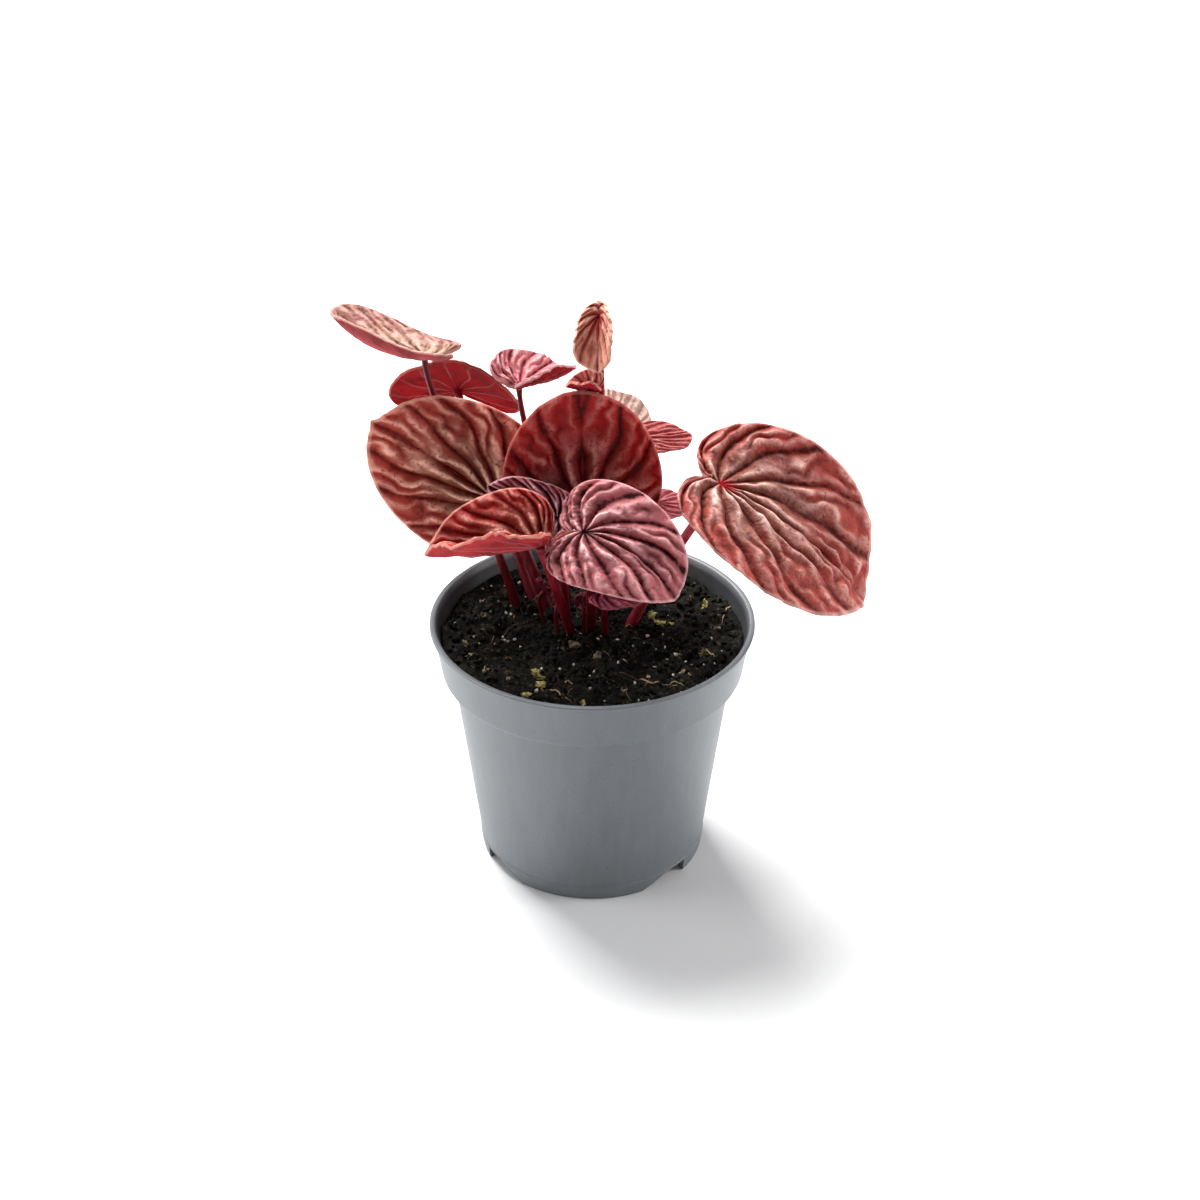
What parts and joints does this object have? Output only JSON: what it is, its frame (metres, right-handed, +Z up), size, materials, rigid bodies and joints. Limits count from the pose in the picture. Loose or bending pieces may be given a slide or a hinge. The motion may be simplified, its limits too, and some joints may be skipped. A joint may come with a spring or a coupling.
{
  "type": "ripple peperomia in a nursery pot",
  "caption": "Red-leaved ripple peperomia with quilted heart-shaped leaves on fleshy stalks, growing in dark peat in a small grey plastic nursery pot",
  "frame": {"origin": "centre of the underside of the pot, on the surface it stands on", "axes": "+Z up; -Y towards the front, where the folded leaf and the quilted front leaf are; +X to the right, where the largest leaf hangs out past the pot"},
  "size_m": [0.1406, 0.1069, 0.1503],
  "materials": {
    "pot": "satin",
    "soil": "matte",
    "blade": "satin",
    "stalk": "satin"
  },
  "bodies": {
    "root": {"pot": "pot", "soil": "soil", "leaf_right": "blade", "stalk_right": "stalk", "leaf_front": "blade", "stalk_front": "stalk", "leaf_front_left": "blade", "stalk_front_left": "stalk", "leaf_inner": "blade", "stalk_inner": "stalk", "leaf_middle": "blade", "stalk_middle": "stalk", "leaf_left": "blade", "stalk_left": "stalk", "leaf_far_left": "blade", "stalk_far_left": "stalk", "leaf_back_left": "blade", "stalk_back_left": "stalk", "leaf_top": "blade", "stalk_top": "stalk", "leaf_rolled": "blade", "stalk_rolled": "stalk", "leaf_cupped": "blade", "stalk_cupped": "stalk", "leaf_back_pale": "blade", "stalk_back_pale": "stalk", "leaf_back_right": "blade", "stalk_back_right": "stalk", "leaf_low_right": "blade", "stalk_low_right": "stalk", "leaf_low_front": "blade", "stalk_low_front": "stalk", "leaf_shoot_left": "blade", "stalk_shoot_left": "stalk", "leaf_shoot_middle": "blade", "stalk_shoot_middle": "stalk", "leaf_shoot_right": "blade", "stalk_shoot_right": "stalk"}
  },
  "joints": []
}
